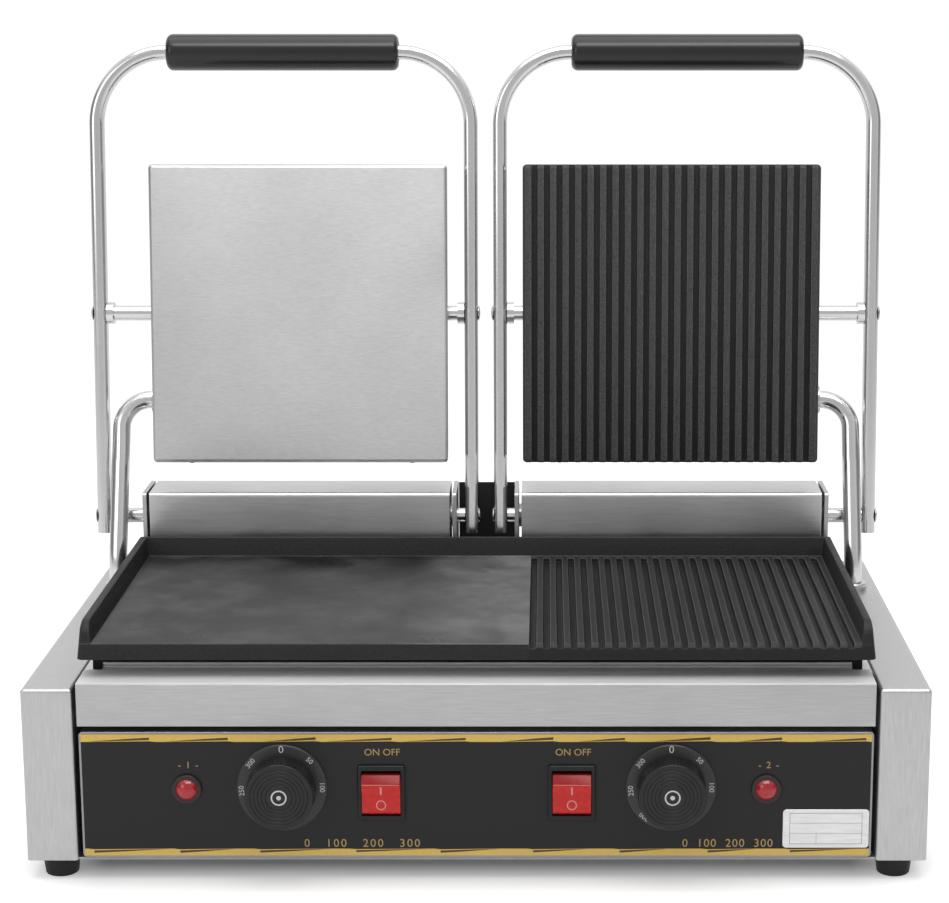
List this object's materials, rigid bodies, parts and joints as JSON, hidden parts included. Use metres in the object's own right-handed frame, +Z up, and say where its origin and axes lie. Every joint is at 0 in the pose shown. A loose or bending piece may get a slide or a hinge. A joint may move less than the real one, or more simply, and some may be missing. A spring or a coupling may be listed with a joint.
{
  "type": "double contact grill",
  "caption": "Double contact grill: half smooth, half ribbed lower plate on a steel base, two hinged heads on bent handles, drip tray, dials, switches and lamps.",
  "frame": {"origin": "on the table, at the middle of the bounding box's bottom face", "axes": "+X to the grill's right as seen from the front, +Y to its back, +Z up; the front with the controls faces -Y"},
  "size_m": [0.575, 0.3526, 0.5199],
  "materials": {
    "stainless": "brushed stainless sheet",
    "polished": "polished steel",
    "iron": "black sandy enamel on cast iron",
    "ground_steel": "ground steel",
    "galvanised": "plain zinc-coated sheet",
    "dark_sheet": "dark heat-proof paint",
    "element": "heat-tinted sheath",
    "wool": "mineral wool mat",
    "grip": "satin black heat-proof plastic",
    "panel_black": "satin black face sheet",
    "dial": "black dial plate",
    "knob": "black fluted knob",
    "switch": "black switch housing",
    "rocker_red": "red translucent rocker",
    "lamp_red": "red translucent lens",
    "bezel": "black lamp bezel",
    "rubber": "black rubber",
    "brass": "plain brass",
    "white_plastic": "white heat-proof plastic",
    "dark_screw": "blackened steel"
  },
  "bodies": {
    "base": {"left_casing": "stainless", "right_casing": "stainless", "base_pan": "galvanised", "rear_panel": "stainless", "deck": "stainless", "plate_frame": "dark_sheet", "lower_plate": "iron", "left_lower_element": "element", "right_lower_element": "element", "element_clamps": "galvanised", "insulation": "wool", "left_hinge_box": "stainless", "right_hinge_box": "stainless", "bearing_plates": "stainless", "shaft_bushes": "brass", "hinge_back": "dark_sheet", "control_panel": "stainless", "face_sheet": "panel_black", "dial_plates": "dial", "thermostats": "white_plastic", "lamp_bezels": "bezel", "lamp_lenses": "lamp_red", "switch_housings": "switch", "feet": "rubber", "foot_screws": "polished", "tray_runners": "galvanised", "terminal_block": "white_plastic", "inlet_gland": "switch", "casing_glands": "stainless", "left_conduit": "polished", "right_conduit": "polished"},
    "tray": {"drip_tray": "stainless"},
    "left_dial": {"left_knob": "knob", "left_spindle": "brass"},
    "left_switch": {"left_rocker": "rocker_red"},
    "left_arm": {"left_handle_frame": "polished", "left_grip": "grip", "left_hinge_shaft": "polished", "left_cross_rod": "polished", "left_arm_screws": "polished"},
    "left_head": {"left_head_plate": "ground_steel", "left_head_cover": "stainless", "left_head_element": "element", "left_trunnions": "galvanised", "left_head_gland": "stainless", "left_edge_screws": "dark_screw"},
    "right_dial": {"right_knob": "knob", "right_spindle": "brass"},
    "right_switch": {"right_rocker": "rocker_red"},
    "right_arm": {"right_handle_frame": "polished", "right_grip": "grip", "right_hinge_shaft": "polished", "right_cross_rod": "polished", "right_arm_screws": "polished"},
    "right_head": {"right_head_plate": "iron", "right_head_cover": "stainless", "right_head_element": "element", "right_trunnions": "galvanised", "right_head_gland": "stainless", "right_edge_screws": "dark_screw"}
  },
  "joints": [
    {"name": "left_arm_hinge", "type": "hinge", "parent": "base", "child": "left_arm", "pos_m": [-0.145, 0.11285, 0.1735], "axis": [1, 0, 0], "range_deg": [0, 95.5], "deforming": ["left_conduit"]},
    {"name": "left_head_tilt", "type": "hinge", "parent": "left_arm", "child": "left_head", "pos_m": [-0.145, 0.12704, 0.32082], "axis": [-1, 0, 0], "range_deg": [-12, 0]},
    {"name": "left_knob_turn", "type": "hinge", "parent": "base", "child": "left_dial", "pos_m": [-0.1225, -0.15765, 0.0615], "axis": [0, 1, 0], "range_deg": [0, 310]},
    {"name": "left_rocker_tip", "type": "hinge", "parent": "base", "child": "left_switch", "pos_m": [-0.06, -0.15465, 0.058], "axis": [-1, 0, 0], "range_deg": [0, 22]},
    {"name": "right_arm_hinge", "type": "hinge", "parent": "base", "child": "right_arm", "pos_m": [0.145, 0.11285, 0.1735], "axis": [1, 0, 0], "range_deg": [0, 95.5], "deforming": ["right_conduit"]},
    {"name": "right_head_tilt", "type": "hinge", "parent": "right_arm", "child": "right_head", "pos_m": [0.145, 0.12704, 0.32082], "axis": [-1, 0, 0], "range_deg": [-12, 0]},
    {"name": "right_knob_turn", "type": "hinge", "parent": "base", "child": "right_dial", "pos_m": [0.1225, -0.15765, 0.0615], "axis": [0, 1, 0], "range_deg": [0, 310]},
    {"name": "right_rocker_tip", "type": "hinge", "parent": "base", "child": "right_switch", "pos_m": [0.06, -0.15465, 0.058], "axis": [-1, 0, 0], "range_deg": [0, 22]},
    {"name": "tray_slide", "type": "slide", "parent": "base", "child": "tray", "axis": [0, -1, 0], "range_m": [0, 0.19]}
  ]
}
